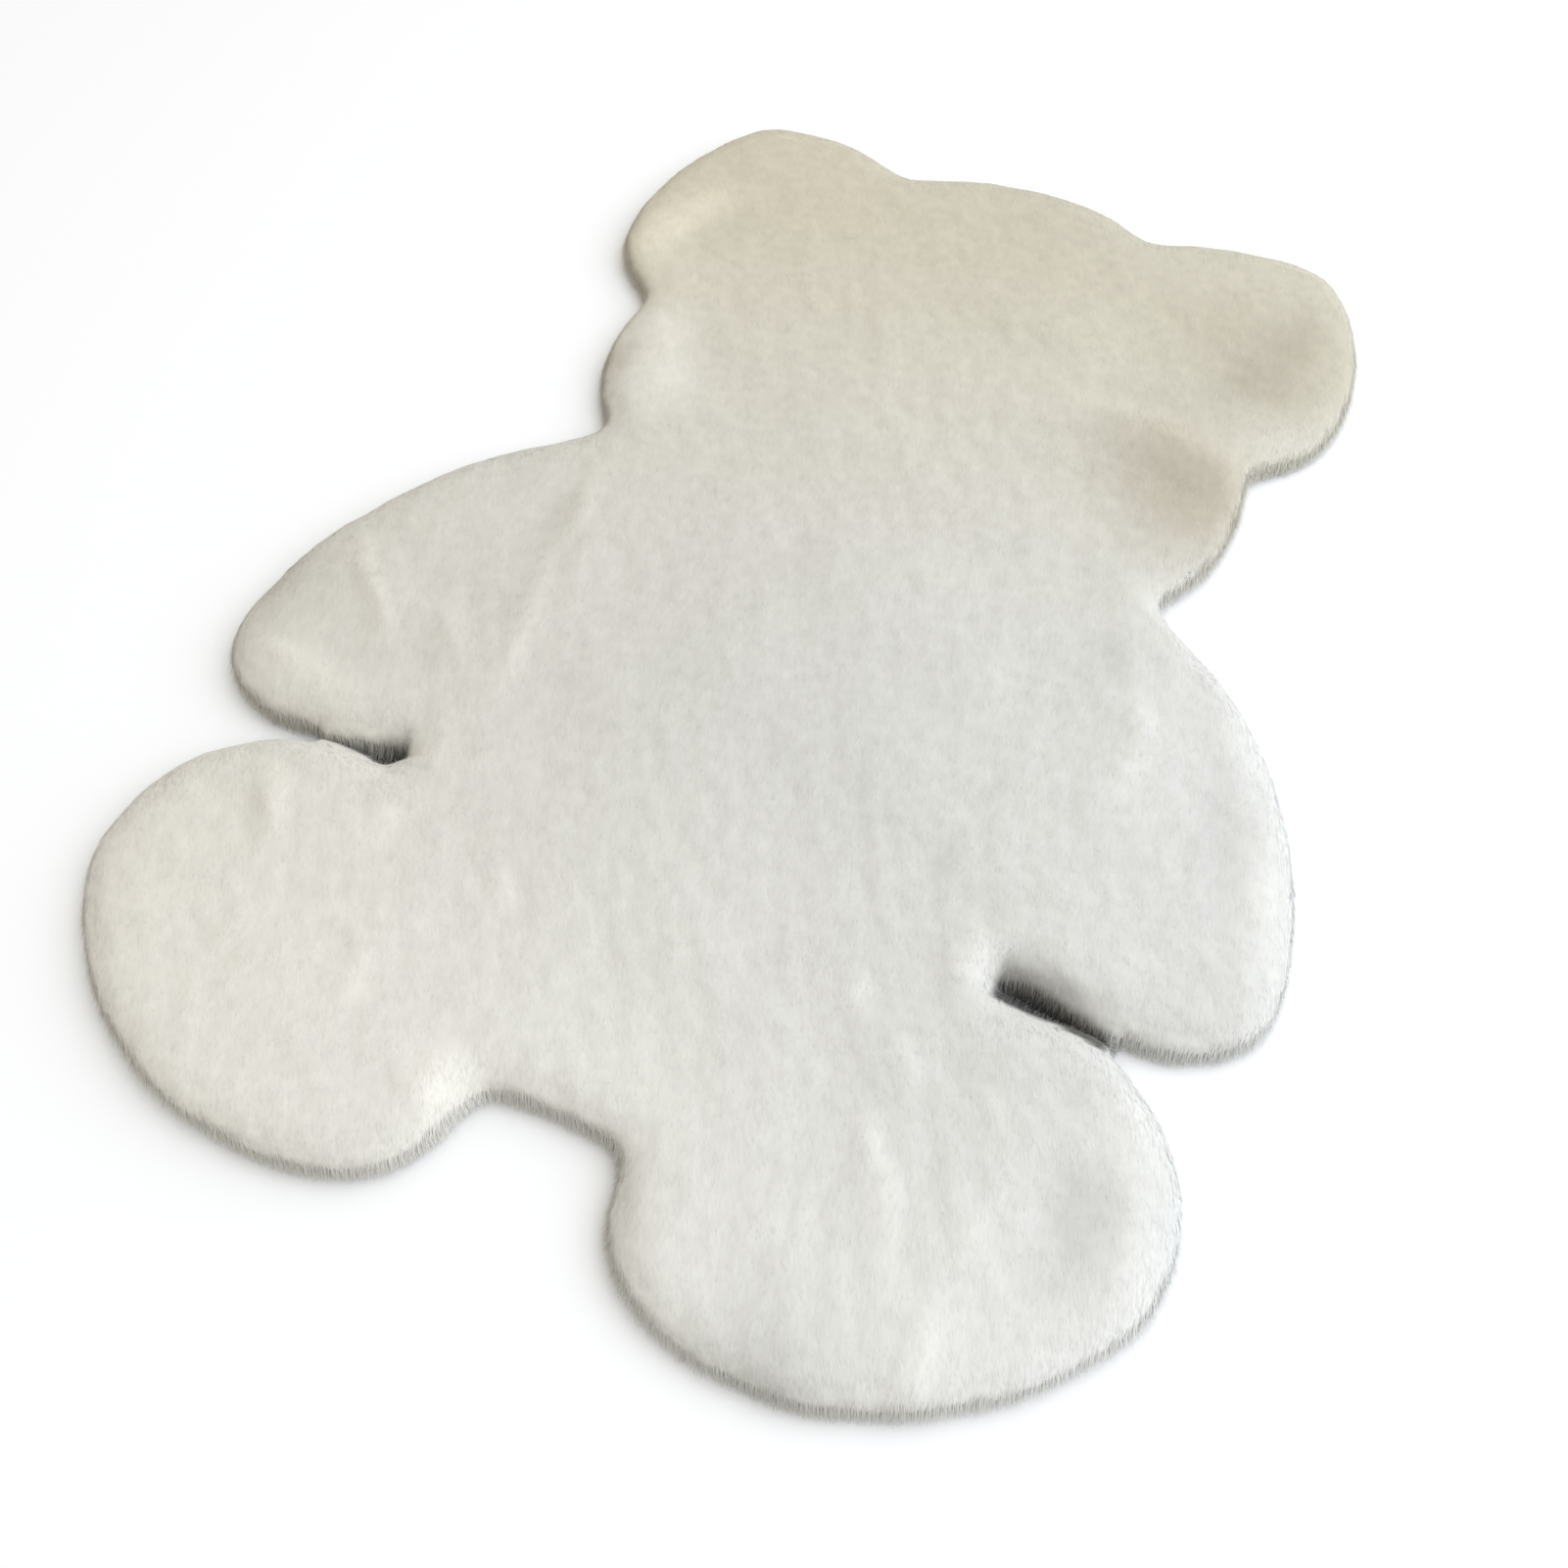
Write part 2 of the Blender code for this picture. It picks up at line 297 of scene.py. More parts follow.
# Crests and troughs too sharp for the CAD solid, along its broad ones. A fold has half its rise at its half
# width, and none at its ends. Metres.
foldColumns = "name, x0, y0, x1, y1, halfWidth, rise"
foldRows = (
    ("pawFoldOuter", -0.260, -0.060, -0.244, -0.094, 0.0046, 0.0012),
    ("pawFoldInner", -0.250, -0.080, -0.204, -0.126, 0.0046, 0.0013),
    ("pawFoldLow", -0.274, -0.152, -0.236, -0.160, 0.0045, 0.0007),
    ("elbowFold", -0.193, -0.078, -0.163, -0.130, 0.0060, 0.0004),
    ("armpitHollowLeft", -0.168, 0.014, -0.169, -0.036, 0.0080, -0.0004),
    ("sideFoldUpper", -0.155, 0.060, -0.150, -0.060, 0.0060, 0.0007),
    ("sideFoldLower", -0.151, -0.036, -0.132, -0.142, 0.0060, 0.0009),
    ("hipFold", -0.224, -0.212, -0.192, -0.256, 0.0070, 0.0007),
    ("thighFold", -0.146, -0.214, -0.153, -0.242, 0.0060, 0.0007),
    ("bellyFold", -0.079, -0.222, -0.066, -0.252, 0.0055, 0.0007),
    ("shinFoldLeft", -0.119, -0.288, -0.111, -0.322, 0.0050, 0.0008),
    ("innerFootLeft", -0.060, -0.352, -0.046, -0.318, 0.0090, 0.0009),
    ("armFoldRight", 0.184, 0.006, 0.193, -0.044, 0.0060, 0.0008),
    ("armFoldRightEnd", 0.193, -0.030, 0.188, -0.076, 0.0060, 0.0009),
    ("armpitHollowRight", 0.152, 0.042, 0.168, -0.006, 0.0090, -0.0006),
    ("armEdgeHollow", 0.232, -0.022, 0.262, -0.120, 0.0130, -0.0005),
    ("waistHollow", 0.117, -0.112, 0.120, -0.160, 0.0060, -0.0005),
    ("thighPucker", 0.108, -0.206, 0.104, -0.232, 0.0055, 0.0009),
    ("thighFoldRight", 0.132, -0.232, 0.149, -0.254, 0.0050, 0.0007),
    ("shinFoldUpper", 0.130, -0.272, 0.148, -0.298, 0.0050, 0.0009),
    ("shinFoldLower", 0.146, -0.286, 0.172, -0.352, 0.0055, 0.0010),
    ("shinHollow", 0.156, -0.306, 0.168, -0.346, 0.0070, -0.0006),
    ("calfFold", 0.190, -0.282, 0.198, -0.324, 0.0050, 0.0006),
    ("kneeFold", 0.180, -0.236, 0.200, -0.266, 0.0050, 0.0006),
    ("footPucker", 0.189, -0.338, 0.192, -0.378, 0.0060, 0.0009),
    ("footHollowRight", 0.228, -0.250, 0.240, -0.322, 0.0150, -0.0009),
    ("slitCrestRight", 0.153, -0.164, 0.149, -0.196, 0.0080, 0.0012),
    ("slitCrestLeft", -0.150, -0.170, -0.148, -0.190, 0.0080, 0.0006),
    ("browFold", 0.076, 0.206, 0.158, 0.204, 0.0080, 0.0008),
    ("browFoldEnd", 0.136, 0.208, 0.194, 0.184, 0.0080, 0.0010),
    ("browHollow", 0.092, 0.190, 0.186, 0.158, 0.0130, -0.0006),
    ("earHollowLow", 0.166, 0.232, 0.186, 0.280, 0.0150, -0.0009),
    ("earHollowHigh", 0.180, 0.262, 0.204, 0.336, 0.0150, -0.0009),
    ("earFoldLeft", -0.238, 0.205, -0.192, 0.318, 0.0140, 0.0012),
    ("earHollowLeft", -0.196, 0.216, -0.172, 0.300, 0.0130, -0.0005),
    ("cheekCrestLeft", -0.182, 0.184, -0.150, 0.090, 0.0130, 0.0008),
    ("armBandUpper", 0.222, 0.012, 0.268, -0.060, 0.0100, 0.0007),
    ("armBandLower", 0.262, -0.046, 0.280, -0.150, 0.0100, 0.0009),
    ("calfBandUpper", 0.228, -0.216, 0.262, -0.262, 0.0110, 0.0009),
    ("calfBandLower", 0.260, -0.246, 0.260, -0.322, 0.0110, 0.0010),
    ("pawBand", -0.272, -0.146, -0.190, -0.172, 0.0080, 0.0007),
)


def foldHeights(places):
    heights = np.zeros(len(places))
    for fold in namedRows(foldColumns, foldRows):
        start = np.array((fold["x0"], fold["y0"]))
        along = np.array((fold["x1"], fold["y1"])) - start
        share = (places[:, :2] - start) @ along / (along @ along)
        away = np.linalg.norm(places[:, :2] - start - share[:, None] * along, axis=1) / fold["halfWidth"]
        lengthwise = np.clip(1 - (2 * share - 1) ** 2, 0, 1)
        heights += fold["rise"] * lengthwise * np.cos(np.minimum(away, 2) * math.pi / 4) ** 2
    return heights


# The dense part of the pile, as one closed skin a little inside the CAD solid. Metres.
skinSettings = {
    "weld": 0.00001,
    "firstInset": 0.0012,  # taken in before the even grid is made, so that the slits stay open
    "underFacing": -0.9,  # but not underneath
    "gridStep": 0.0027,
    "smoothSteps": 5,
    "smoothShare": 0.5,
    "topDepth": 0.0016,
    "rimDepth": 0.0026,
    "depthFacing": (0.0, 0.9),  # the facings of the rim and of the top
    "slitDepth": -0.0012,  # pile is pressed together in the slits, so the skin reaches further out there
    "slitFacing": (0.3, 0.9),
    "flatBelow": 0.0012,
    # the pile's soft unevenness: span across the nap, span along it, height
    "swells": ((0.042, 0.058, 0.00110), (0.0120, 0.020, 0.00053), (0.0060, 0.0080, 0.00019)),
    "flatFacing": -0.999,  # faces that look straight down are shaded flat
}
swellRise = 4  # how many times closer the swells follow each other up the rim than across the nap


def swell(places, across, along, height):
    return np.array([height * noise.noise(Vector((x / across, y / along, swellRise * z / across)))
                     for x, y, z in places])


def weldedCopy(source, look):
    mesh = source.copy()
    mesh.materials.clear()
    welded = bmesh.new()
    welded.from_mesh(mesh)
    bmesh.ops.remove_doubles(welded, verts=welded.verts, dist=look["weld"])
    welded.normal_update()
    for vertex in welded.verts:
        vertex.co -= vertex.normal * (look["firstInset"] if vertex.normal.z > look["underFacing"] else 0.0)
    welded.to_mesh(mesh)
    welded.free()
    return mesh


def evenGrid(look):
    draft = linkedObject("draft", weldedCopy(cadRug.data, look))
    remesh = draft.modifiers.new("evenGrid", "REMESH")
    remesh.mode = "VOXEL"
    remesh.voxel_size = look["gridStep"]
    smooth = draft.modifiers.new("softer", "SMOOTH")
    smooth.factor = look["smoothShare"]
    smooth.iterations = look["smoothSteps"]
    fine = evaluatedMesh(draft, "plushSkin")
    bpy.data.objects.remove(draft)
    return fine


def flattenUnderside(mesh, look):
    bare = bmesh.new()
    bare.from_mesh(mesh)
    under = [f for f in bare.faces if all(v.co.z < onFloor for v in f.verts)]
    bmesh.ops.dissolve_faces(bare, faces=under, use_verts=True)
    bmesh.ops.triangulate(bare, faces=[f for f in bare.faces if len(f.verts) > 4])
    for face in bare.faces:
        face.smooth = face.normal.z > look["flatFacing"]
    bare.to_mesh(mesh)
    bare.free()


def makeSkin(look):
    fine = evenGrid(look)
    places = readVectors(fine.vertices, "co")
    normals = readVectors(fine.vertices, "normal")
    facing = normals[:, 2]
    depth = np.interp(facing, look["depthFacing"], (look["rimDepth"], look["topDepth"]))
    inSlit = slitShares(places)[0] * np.interp(facing, look["slitFacing"], (1.0, 0.0))
    depth = depth * (1 - inSlit) + look["slitDepth"] * inSlit - look["firstInset"]
    relief = sum(swell(napPlaces(places), *shape) for shape in look["swells"]) + foldHeights(places)
    step = normals * (relief - depth)[:, None]
    step[facing < 0, 2] = 0.0  # the underside stays on the floor
    places += step
    places[places[:, 2] < look["flatBelow"], 2] = 0.0
    fine.vertices.foreach_set("co", places.ravel())
    fine.update()
    flattenUnderside(fine, look)
    return linkedObject("plushSkin", fine)


# Where the colours lie when they are baked flat: the top with its rim turned outwards, in metres, and the
# underside beside it at a smaller scale.
flatSettings = {
    "across": 0.90,
    "corner": (-0.33, -0.43),
    "rimHeight": 0.019,
    "slitFold": 0.85,  # how much less the rim is turned outwards in the slits, to stay clear of itself
    "underCorner": (0.75, 0.02),
    "underScale": 0.38,
    "strandSpan": 0.001,
}


def flatPlaces(places, normals, inSlit, flat):
    turned = np.clip(flat["rimHeight"] - places[:, 2], 0, None) * (1 - flat["slitFold"] * inSlit)
    return (places[:, :2] + unit(normals)[:, :2] * turned[:, None] - flat["corner"]) / flat["across"]


def storeFlat(mesh, cornerPlaces):
    layer = mesh.uv_layers.new(name="OFBake")
    layer.data.foreach_set("uv", cornerPlaces.astype(np.float32).ravel())


def cornerVertices(mesh):
    vertices = np.zeros(len(mesh.loops), np.int32)
    mesh.loops.foreach_get("vertex_index", vertices)
    return vertices


def layFlat(skin, flat):
    mesh = skin.data
    places = readVectors(mesh.vertices, "co")
    laid = flatPlaces(places, readVectors(mesh.vertices, "normal"), slitShares(places)[0], flat)
    storeOnPoints(mesh, "flatPlace", np.column_stack([laid, np.zeros(len(laid))]))
    vertices = cornerVertices(mesh)
    starts = np.zeros(len(mesh.polygons), np.int32)
    mesh.polygons.foreach_get("loop_start", starts)
    counts = np.diff(np.append(starts, len(vertices)))
    isUnder = np.repeat(np.maximum.reduceat(places[vertices, 2], starts) < onFloor, counts)
    low = places[:, :2].min(axis=0)
    under = flat["underCorner"] + (places[vertices, :2] - low) * flat["underScale"]
    storeFlat(mesh, np.where(isUnder[:, None], under, laid[vertices]))


# Soft patches where the colour is painted darker or lighter. The dark ones on the right cheek and ear, at the
# edges of the left cheek and left paw, on the inner right leg and at the right sole are painted shade. The
# light ones on the left cheek, the left ear, the lower edge of the right ear and the inner left foot are
# painted highlight. The others only make the colour a little darker or lighter. Crests of folds are painted
# lighter, partly as painted highlight and partly where the pile opens, and troughs are painted darker as
# painted shade. shade is how much of the colour is left in a patch's middle, and warmth takes some blue away.
# Metres.
patchColumns = "name, x, y, radius, shade, warmth"
patchRows = (
    ("cheekRight", 0.182, 0.150, 0.052, 0.79, 0.14),
    ("cheekRightInner", 0.136, 0.176, 0.040, 0.89, 0.05),
    ("earRight", 0.195, 0.290, 0.070, 0.86, 0.05),
    ("earRightInner", 0.188, 0.256, 0.028, 0.95, 0.03),
    ("earRightLow", 0.204, 0.212, 0.024, 1.12, -0.04),
    ("cheekLeft", -0.178, 0.166, 0.026, 1.10, -0.05),
    ("cheekLeftLow", -0.158, 0.114, 0.028, 1.10, -0.05),
    ("cheekEdgeLeft", -0.198, 0.124, 0.015, 0.84, 0.06),
    ("earLeft", -0.218, 0.232, 0.046, 1.09, 0.0),
    ("crown", 0.020, 0.350, 0.110, 0.95, 0.0),
    ("chest", -0.060, 0.030, 0.130, 0.985, 0.015),
    ("belly", 0.010, -0.080, 0.110, 0.97, -0.02),
    ("thighRight", 0.160, -0.250, 0.090, 0.93, 0.0),
    ("thighLeft", -0.180, -0.270, 0.090, 1.04, 0.0),
    ("innerFootLeft", -0.052, -0.335, 0.022, 1.10, 0.0),
    ("pawLeft", -0.300, -0.112, 0.036, 0.84, 0.02),
    ("innerLegRight", 0.045, -0.352, 0.030, 0.93, 0.02),
    ("calfRight", 0.280, -0.270, 0.030, 0.92, -0.02),
    ("armRight", 0.228, -0.060, 0.075, 1.04, -0.01),
    ("soleRight", 0.135, -0.396, 0.034, 0.84, 0.0),
    ("soleLeft", -0.150, -0.396, 0.034, 1.04, 0.0),
)
brushAndShadeSettings = {
    # uneven brushing all over: span across the nap, span along it, change of shade
    "swells": ((0.040, 0.060, 0.018), (0.014, 0.022, 0.016), (0.0058, 0.0076, 0.045)),
    "swellsApart": 1.0,  # read this far from the skin's own swells, so that the two don't coincide
    "foldShade": 0.12,  # how much lighter a crest is painted, partly as painted highlight and partly where the pile opens, or a trough darker as painted shade,
    "foldRise": 0.0010,  # at this height or depth
    "rimFacing": (0.40, 0.98),
    "rimPaintedShade": 0.12,  # painted shade: how much darker the rim's pile is painted where it faces away from the window
    "rimPaintedLight": 0.02,  # and painted light: how much lighter where it faces it
    "away": (-0.2, 0.45),  # fully away below the first, and not at all above the second
    "towards": (0.0, 0.5),
    "greenWarmth": 0.4,  # how much of a patch's warmth comes out of its green too
}


def brushedAndPaintedShades(places, normals, brushAndShade):
    # crests painted lighter, partly as painted highlight and partly for the opened pile; troughs painted
    # darker as painted shade
    shades = 1 + brushAndShade["foldShade"] * np.clip(foldHeights(places) / brushAndShade["foldRise"], -1, 1)
    apart = napPlaces(places) + brushAndShade["swellsApart"]
    shades += sum(swell(apart, *shape) for shape in brushAndShade["swells"])
    # the rim is painted darker where it faces away from the window and a little lighter where it faces it:
    # painted shade and painted light
    onRim = np.interp(normals[:, 2], brushAndShade["rimFacing"], (1.0, 0.0))
    bright = unit(normals) @ Vector(roomSettings["brightSide"]).normalized()
    away = brushAndShade["rimPaintedShade"] * np.interp(bright, brushAndShade["away"], (1.0, 0.0))
    towards = brushAndShade["rimPaintedLight"] * np.interp(bright, brushAndShade["towards"], (0.0, 1.0))
    shades *= 1 - onRim * (away - towards)
    colours = np.stack([shades] * 3, 1)
    # soft patches of painted shade and painted highlight, and a few that only make the colour a little darker
    # or lighter
    for patch in namedRows(patchColumns, patchRows):
        distance = np.linalg.norm(places[:, :2] - (patch["x"], patch["y"]), axis=1) / patch["radius"]
        warm = patch["warmth"]
        full = patch["shade"] * np.array((1.0, 1 - brushAndShade["greenWarmth"] * warm, 1 - warm))
        colours *= 1 + (full - 1) * np.exp(-distance ** 2)[:, None]
    return colours


def layNap(skin, nap, rimLength):
    # stores what the strands that grow on the skin follow, and gives where they grow
    mesh = skin.data
    places = readVectors(mesh.vertices, "co")
    normals = readVectors(mesh.vertices, "normal")
    facing = normals[:, 2]
    heading = napHeading(places)
    along = np.stack([np.cos(heading), np.sin(heading), np.zeros(len(heading))], 1)
    lean, lift = math.radians(nap["lean"]), math.radians(nap["rimLift"])
    lying = unit(along - normals * (along * normals).sum(1)[:, None])
    topWay = normals * math.cos(lean) + lying * math.sin(lean)
    falling = np.array([0.0, 0.0, -1.0]) + normals * normals[:, 2:3]
    rimWay = unit(unit(falling) * math.cos(lift) + normals * math.sin(lift) + nap["rimDrift"] * along)

    near, dark = slitShares(places)
    level = near * fallBetween(places[:, 2], nap["levelHeights"])
    bridging = unit(normals * (1, 1, 0)) - (0, 0, nap["bridgeDrop"])
    rimWay = rimWay * (1 - level[:, None]) + bridging * level[:, None]
    rimShare = np.interp(facing, nap["rimFacing"], (1.0, 0.0))
    blended = topWay * (1 - rimShare[:, None]) + rimWay * rimShare[:, None]
    tipWay = unit(blended)

    fallRate = np.maximum(-tipWay[:, 2], 0.05)  # the least avoids dividing by nothing
    room = (places[:, 2] - nap["floorGap"]) / fallRate / rimLength
    room = np.where(tipWay[:, 2] < 0, np.clip(room, nap["leastRoom"], 1.0), 1.0)
    room *= np.interp(np.linalg.norm(blended, axis=1), nap["parting"], (nap["leastParted"], 1.0))
    storeOnPoints(mesh, "tipWay", tipWay)
    storeOnPoints(mesh, "upWay", normals)
    storeOnPoints(mesh, "room", room * (1 - level) + nap["bridge"] / rimLength * level)
    # the brushing's tone together with the painted shade and painted highlight of folds, rims and patches
    storeOnPoints(mesh, "brushed", brushedAndPaintedShades(places, normals, brushAndShadeSettings))
    # how dark the slits' painted shade is here
    storeOnPoints(mesh, "depth", dark)
    storeOnPoints(mesh, "napPlace", napPlaces(places))
    onTop = np.interp(facing, nap["topCover"], (0.0, 1.0))
    onRim = (1 - onTop) * np.interp(facing, nap["rimCover"], (0.0, 1.0))
    return onTop, onRim * (places[:, 2] > nap["rimLowest"])


# Strands of the pile. A real fibre is about 0.03 mm wide, too fine to show, so a strand here stands for a
# tuft of them. Tufts lean together in clumps about 3 mm across and twice as long. density is for each square
# metre.
pileSettings = {
    "top": {
        "density": 405000.0, "length": 3.6 * mm, "width": 0.60 * mm, "thickness": 0.02 * mm,
        "lengthSpread": 0.30, "clumpLean": 0.28, "stray": 0.20, "pressed": 0.99,
    },
    "rim": {
        "density": 1000000.0, "length": 7.0 * mm, "width": 0.50 * mm, "thickness": 0.14 * mm,
        "lengthSpread": 0.25, "clumpLean": 0.24, "stray": 0.12, "pressed": 0.5,
    },
    "clumpAcross": 3.2 * mm,
    "clumpAlong": 6.2 * mm,
    "leastDark": 0.84,  # strands in a slit take this much of its painted shade or more
    "softNormal": 0.96,  # how far a tuft takes the light as the surface under it does, not as a hard spike
    "lowest": 0.2 * mm,
    "headAbove": 0.125,  # y in metres
    "legsBelow": -0.165,
    "firstSeed": 20,
    "lengthSeed": 3,
    "darkSeed": 5,
}


def clumpNoise(tree, napPlace, pile, detail):
    scale = (1 / pile["clumpAcross"], 1 / pile["clumpAlong"], 1 / pile["clumpAcross"])
    clumpPlace = addNode(tree, "ShaderNodeVectorMath", {0: napPlace, 1: scale},
                         operation="MULTIPLY").outputs[0]
    return addNode(tree, "ShaderNodeTexNoise",
                   {"Vector": clumpPlace, "Scale": 1.0, "Detail": detail}).outputs


def pileTree(material, pile):
    tree = bpy.data.node_groups.new("plushPile", "GeometryNodeTree")
    face = tree.interface
    face.new_socket("Geometry", in_out="OUTPUT", socket_type="NodeSocketGeometry")
    face.new_socket("Geometry", in_out="INPUT", socket_type="NodeSocketGeometry")
    sockets = {}
    for name in pile["top"]:
        sockets[name] = face.new_socket(name, in_out="INPUT", socket_type="NodeSocketFloat").identifier
    sockets["seed"] = face.new_socket("seed", in_out="INPUT", socket_type="NodeSocketInt").identifier
    given = addNode(tree, "NodeGroupInput").outputs

    # one straight spike, three sided, flat side down, 0 at the root and 1 at the tip
    sideOfOne = 0.577  # the radius that makes each side 1 wide
    spike = addNode(tree, "GeometryNodeMeshCone",
                    {"Vertices": 3, "Radius Top": 0.0, "Radius Bottom": sideOfOne, "Depth": 1.0},
                    fill_type="NGON").outputs["Mesh"]
    spike = addNode(tree, "GeometryNodeTransform",
                    {"Geometry": spike, "Rotation": (0.0, 0.0, math.pi / 2)}).outputs[0]
    spikePlace = addNode(tree, "GeometryNodeInputPosition").outputs[0]
    marked = addNode(tree, "GeometryNodeStoreNamedAttribute",
                     {"Geometry": spike, "Name": "strandPlace", "Value": spikePlace},
                     data_type="FLOAT_VECTOR", domain="POINT").outputs["Geometry"]
    strandSize = addNode(tree, "ShaderNodeCombineXYZ",
                         {"X": given["width"], "Y": given["thickness"], "Z": given["length"]}).outputs[0]
    shaped = addNode(tree, "GeometryNodeTransform", {"Geometry": marked, "Scale": strandSize}).outputs[0]

    cover = addNode(tree, "GeometryNodeInputNamedAttribute", {"Name": "cover"},
                    data_type="FLOAT").outputs[0]
    density = addNode(tree, "ShaderNodeMath", {0: cover, 1: given["density"]},
                      operation="MULTIPLY").outputs[0]
    roots = addNode(tree, "GeometryNodeDistributePointsOnFaces",
                    {"Mesh": given["Geometry"], "Density": density, "Seed": given["seed"]}).outputs["Points"]

    # neighbours lean together in long narrow clumps, and each strand strays a little
    napPlace = addNode(tree, "GeometryNodeInputNamedAttribute", {"Name": "napPlace"},
                       data_type="FLOAT_VECTOR").outputs[0]
    clumps = clumpNoise(tree, napPlace, pile, 1.0)
    sway = addNode(tree, "ShaderNodeVectorMath", {0: clumps["Color"], 1: (0.5, 0.5, 0.5)},
                   operation="SUBTRACT").outputs[0]
    clumpSway = addNode(tree, "ShaderNodeVectorMath", {0: sway, "Scale": given["clumpLean"]},
                        operation="SCALE").outputs[0]
    anyWay = addNode(tree, "FunctionNodeRandomValue",
                     {"Min": (-1, -1, -1), "Max": (1, 1, 1), "Seed": given["seed"]},
                     data_type="FLOAT_VECTOR").outputs[0]
    strayed = addNode(tree, "ShaderNodeVectorMath", {0: anyWay, "Scale": given["stray"]},
                      operation="SCALE").outputs[0]
    swayed = addNode(tree, "ShaderNodeVectorMath", {0: clumpSway, 1: strayed},
                     operation="ADD").outputs[0]

    # pressed takes out the part of the sway that would lift a strand off the surface
    upWay = addNode(tree, "GeometryNodeInputNamedAttribute", {"Name": "upWay"},
                    data_type="FLOAT_VECTOR").outputs[0]
    raised = addNode(tree, "ShaderNodeVectorMath", {0: swayed, 1: upWay}, operation="PROJECT").outputs[0]
    pressed = addNode(tree, "ShaderNodeVectorMath", {0: raised, "Scale": given["pressed"]},
                      operation="SCALE").outputs[0]
    level = addNode(tree, "ShaderNodeVectorMath", {0: swayed, 1: pressed},
                    operation="SUBTRACT").outputs[0]
    tipWay = addNode(tree, "GeometryNodeInputNamedAttribute", {"Name": "tipWay"},
                     data_type="FLOAT_VECTOR").outputs[0]
    strandWay = addNode(tree, "ShaderNodeVectorMath", {0: tipWay, 1: level}, operation="ADD").outputs[0]
    turn = addNode(tree, "FunctionNodeAxesToRotation",
                   {"Primary Axis": strandWay, "Secondary Axis": upWay},
                   primary_axis="Z", secondary_axis="Y").outputs[0]

    spread = addNode(tree, "FunctionNodeRandomValue", {2: -1.0, 3: 1.0, "Seed": pile["lengthSeed"]},
                     data_type="FLOAT").outputs[1]
    spread = addNode(tree, "ShaderNodeMath", {0: spread, 1: given["lengthSpread"]},
                     operation="MULTIPLY").outputs[0]
    spread = addNode(tree, "ShaderNodeMath", {0: spread, 1: 1.0}, operation="ADD").outputs[0]
    room = addNode(tree, "GeometryNodeInputNamedAttribute", {"Name": "room"},
                   data_type="FLOAT").outputs[0]
    size = addNode(tree, "ShaderNodeMath", {0: spread, 1: room}, operation="MULTIPLY").outputs[0]
    placed = addNode(tree, "GeometryNodeInstanceOnPoints",
                     {"Points": roots, "Instance": shaped, "Rotation": turn, "Scale": size}).outputs[0]
    shadeWay = addNode(tree, "ShaderNodeVectorMath", {0: upWay, 1: clumpSway},
                       operation="ADD").outputs[0]
    shaded = addNode(tree, "GeometryNodeStoreNamedAttribute",
                     {"Geometry": placed, "Name": "shadeWay", "Value": shadeWay},
                     data_type="FLOAT_VECTOR", domain="INSTANCE").outputs[0]
    darkShare = addNode(tree, "FunctionNodeRandomValue",
                        {2: pile["leastDark"], 3: 1.0, "Seed": pile["darkSeed"]},
                        data_type="FLOAT").outputs[1]
    uneven = addNode(tree, "GeometryNodeStoreNamedAttribute",
                     {"Geometry": shaded, "Name": "darkShare", "Value": darkShare},
                     data_type="FLOAT", domain="INSTANCE").outputs[0]
    real = addNode(tree, "GeometryNodeRealizeInstances", {"Geometry": uneven}).outputs[0]
    dressed = addNode(tree, "GeometryNodeSetMaterial", {"Geometry": real, "Material": material}).outputs[0]
    addNode(tree, "NodeGroupOutput", {"Geometry": dressed})
    return tree, sockets


def softenNormals(mesh, share):
    up = unit(readVectors(mesh.attributes["shadeWay"].data, "vector"))
    mixed = unit(readVectors(mesh.vertices, "normal") * (1 - share) + up * share)
    mesh.shade_smooth()
    mesh.normals_split_custom_set_from_vertices(mixed.tolist())


def growPile(skin, tree, sockets, name, cover, strand, seed):
    mesh = skin.data.copy()
    storeOnPoints(mesh, "cover", cover)
    patch = linkedObject("patch", mesh)
    grow = patch.modifiers.new("pile", "NODES")
    grow.node_group = tree
    for key, value in {**strand, "seed": seed}.items():
        grow[sockets[key]] = value
    grown = evaluatedMesh(patch, name)
    bpy.data.objects.remove(patch)
    softenNormals(grown, pileSettings["softNormal"])
    places = readVectors(grown.vertices, "co")
    places[:, 2] = np.maximum(places[:, 2], pileSettings["lowest"])
    grown.vertices.foreach_set("co", places.ravel())
    # the slits' painted shade, on the strands too
    storeOnPoints(grown, "depth", slitShares(places)[1] * readNumbers(grown, "darkShare"))
    laid = readVectors(grown.attributes["flatPlace"].data, "vector")[:, :2]
    spread = readVectors(grown.attributes["strandPlace"].data, "vector")[:, ::2]
    storeFlat(grown, (laid + spread * flatSettings["strandSpan"])[cornerVertices(grown)])
    return linkedObject(name, grown)


# Polyester plush, knitted with its pile cut short: soft and matt, off-white, with a faint sheen at its edges
# and a faint mottle from its tufts. It is coloured warmer and darker towards the head and lighter on the
# feet, partly as tone and partly as painted shade and painted light for the dimmer light at the head and the
# brighter light at the feet. Places are in metres.
plushSettings = {
    "body": "DAD9D3",
    "head": "D4CFBD",
    "foot": "E6E5DF",
    "headFrom": (0.02, 0.30),  # the y from which and by which the body's colour has become the head's
    "footFrom": (-0.12, -0.34),
    "leftSide": "FAF6F0",  # a tint over the colours above, warmer and a little darker on the left: partly tone and partly painted shade on the side away from the window
    "rightSide": "FFFFFF",
    "sides": (-0.25, 0.25),
    # painted shade deep in the slits, where the pile stands close and little light reaches
    "slit": "45433C",
    "mottle": 0.055,
    "mottleNoise": (0.3, 0.7),  # the noise's values where the mottle is darkest and palest
    "grainHeight": 0.6 * mm,
    "grainStrength": 0.25,
    "roughness": 0.9,
    "gloss": 0.15,
    "sheen": 0.15,
    "sheenRoughness": 0.5,
}


